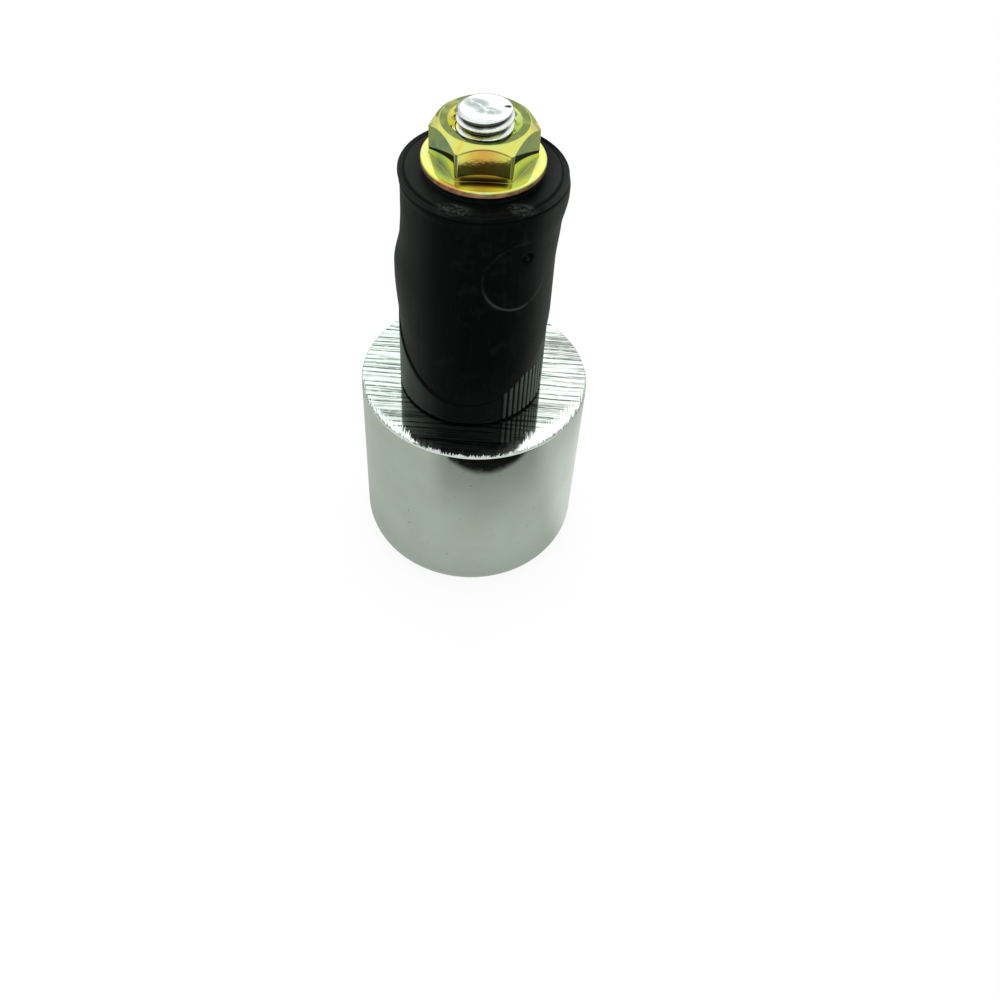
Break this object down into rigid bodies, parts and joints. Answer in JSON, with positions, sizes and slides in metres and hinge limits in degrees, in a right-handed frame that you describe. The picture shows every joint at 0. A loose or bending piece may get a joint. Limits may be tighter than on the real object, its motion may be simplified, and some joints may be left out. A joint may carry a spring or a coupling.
{
  "type": "bar end weight",
  "caption": "Chromed round handlebar end weight with a long socket screw, a flange nut and a rubber plug cut on the slant into wedges that spread when tightened.",
  "frame": {"origin": "centre of the weight's outer face, on which the part stands", "axes": "+Z along the screw from the outer face towards the nut; +Y the way in which the slanted cut of the plug climbs; +X completes the right-handed frame"},
  "size_m": [0.028, 0.028, 0.0635],
  "materials": {
    "chrome": "bright chrome plate over turned steel, parallel saw marks under the plate on the shoulder",
    "white_zinc": "bright silver zinc plate on a rolled thread",
    "yellow_zinc": "yellow chromated zinc with green and pink iridescence",
    "black_rubber": "satin moulded black rubber"
  },
  "bodies": {
    "weight": {"end_weight": "chrome"},
    "screw": {"screw": "white_zinc"},
    "nut": {"flange_nut": "yellow_zinc"},
    "upper_wedge": {"upper_wedge": "black_rubber"},
    "lower_wedge": {"lower_wedge": "black_rubber"}
  },
  "joints": [
    {"name": "clamp_screw", "type": "hinge", "parent": "weight", "child": "screw", "pos_m": [0, 0, 0.0085], "axis": [0, 0, 1], "range_deg": [0, 720]},
    {"name": "nut_draw", "type": "slide", "parent": "weight", "child": "nut", "axis": [0, 0, -1], "range_m": [0, 0.002]},
    {"name": "upper_wedge_slide", "type": "slide", "parent": "weight", "child": "upper_wedge", "axis": [0, -0.4472, -0.8944], "range_m": [0, 0.00224]},
    {"name": "lower_wedge_slide", "type": "slide", "parent": "weight", "child": "lower_wedge", "axis": [0, 1, 0], "range_m": [0, 0.001]}
  ],
  "couplings": [
    {"joint": "clamp_screw", "follows": "nut_draw", "rad_per_m": 6283.2},
    {"joint": "upper_wedge_slide", "follows": "nut_draw", "ratio": 1.118},
    {"joint": "lower_wedge_slide", "follows": "nut_draw", "ratio": 0.5}
  ]
}
